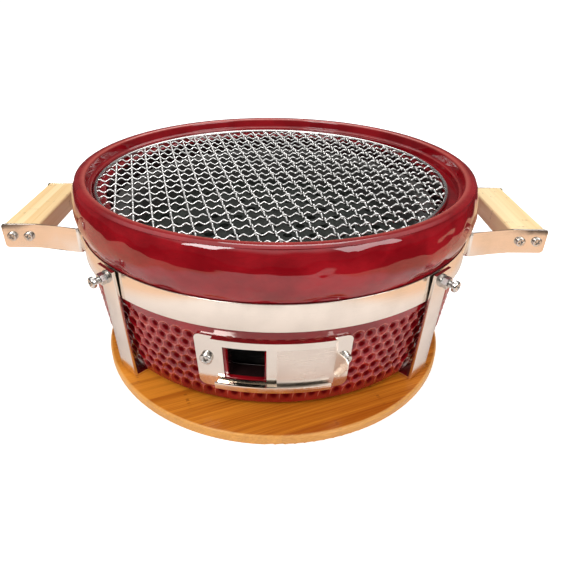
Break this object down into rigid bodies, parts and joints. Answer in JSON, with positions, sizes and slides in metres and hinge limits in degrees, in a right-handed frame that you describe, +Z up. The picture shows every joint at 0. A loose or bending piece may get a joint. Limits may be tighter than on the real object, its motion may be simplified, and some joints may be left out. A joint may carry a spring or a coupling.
{
  "type": "tabletop_ceramic_grill",
  "caption": "Round tabletop charcoal grill: glazed ceramic bowl in a strapped steel frame with wooden side handles, wire grate, sliding vent door and round board under it",
  "frame": {"origin": "On the bowl's axis in the underside of the bamboo board, the face the grill stands on.", "axes": "+X runs from the left handle to the right handle. +Y runs from the vent at the front to the back. +Z is up along the bowl's axis."},
  "size_m": [0.462, 0.365, 0.1485],
  "materials": {
    "bamboo_board": "satin oiled bamboo",
    "red_glaze": "glossy deep red glaze",
    "polished_steel": "polished stainless strip",
    "brushed_steel": "brushed stainless sheet",
    "zinc_screws": "bright zinc-plated steel",
    "bamboo_handle": "pale satin bamboo",
    "dark_fireclay": "matt dark fired clay",
    "cast_iron": "rough cast iron",
    "grate_wire": "bright drawn steel wire"
  },
  "bodies": {
    "board": {"bamboo_board": "bamboo_board"},
    "grill": {"ceramic_bowl": "red_glaze", "vent_plate": "polished_steel", "vent_screws": "zinc_screws", "front_band": "polished_steel", "rear_band": "polished_steel", "cradle_strap_lower": "polished_steel", "cradle_strap_upper": "polished_steel", "clamp_washers": "zinc_screws", "clamp_nuts": "zinc_screws", "clamp_screws": "zinc_screws", "left_handle": "bamboo_handle", "right_handle": "bamboo_handle", "handle_screws": "zinc_screws"},
    "vent_door": {"vent_door": "brushed_steel"},
    "fire_bowl": {"fire_bowl": "dark_fireclay"},
    "charcoal_plate": {"charcoal_plate": "cast_iron"},
    "cooking_grate": {"grate_ring": "grate_wire", "grate_wires_across": "grate_wire", "grate_wires_along": "grate_wire"}
  },
  "joints": [
    {"name": "grill_lift", "type": "slide", "parent": "board", "child": "grill", "axis": [0, 0, 1], "range_m": [0, 0.06]},
    {"name": "vent_door_slide", "type": "hinge", "parent": "grill", "child": "vent_door", "pos_m": [0, 0, 0.056], "axis": [0, 0, 1], "range_deg": [-13.8, 0]},
    {"name": "fire_bowl_lift", "type": "slide", "parent": "grill", "child": "fire_bowl", "axis": [0, 0, 1], "range_m": [0, 0.14]},
    {"name": "charcoal_plate_lift", "type": "slide", "parent": "fire_bowl", "child": "charcoal_plate", "axis": [0, 0, 1], "range_m": [0, 0.06]},
    {"name": "cooking_grate_lift", "type": "slide", "parent": "charcoal_plate", "child": "cooking_grate", "axis": [0, 0, 1], "range_m": [0, 0.06]}
  ]
}
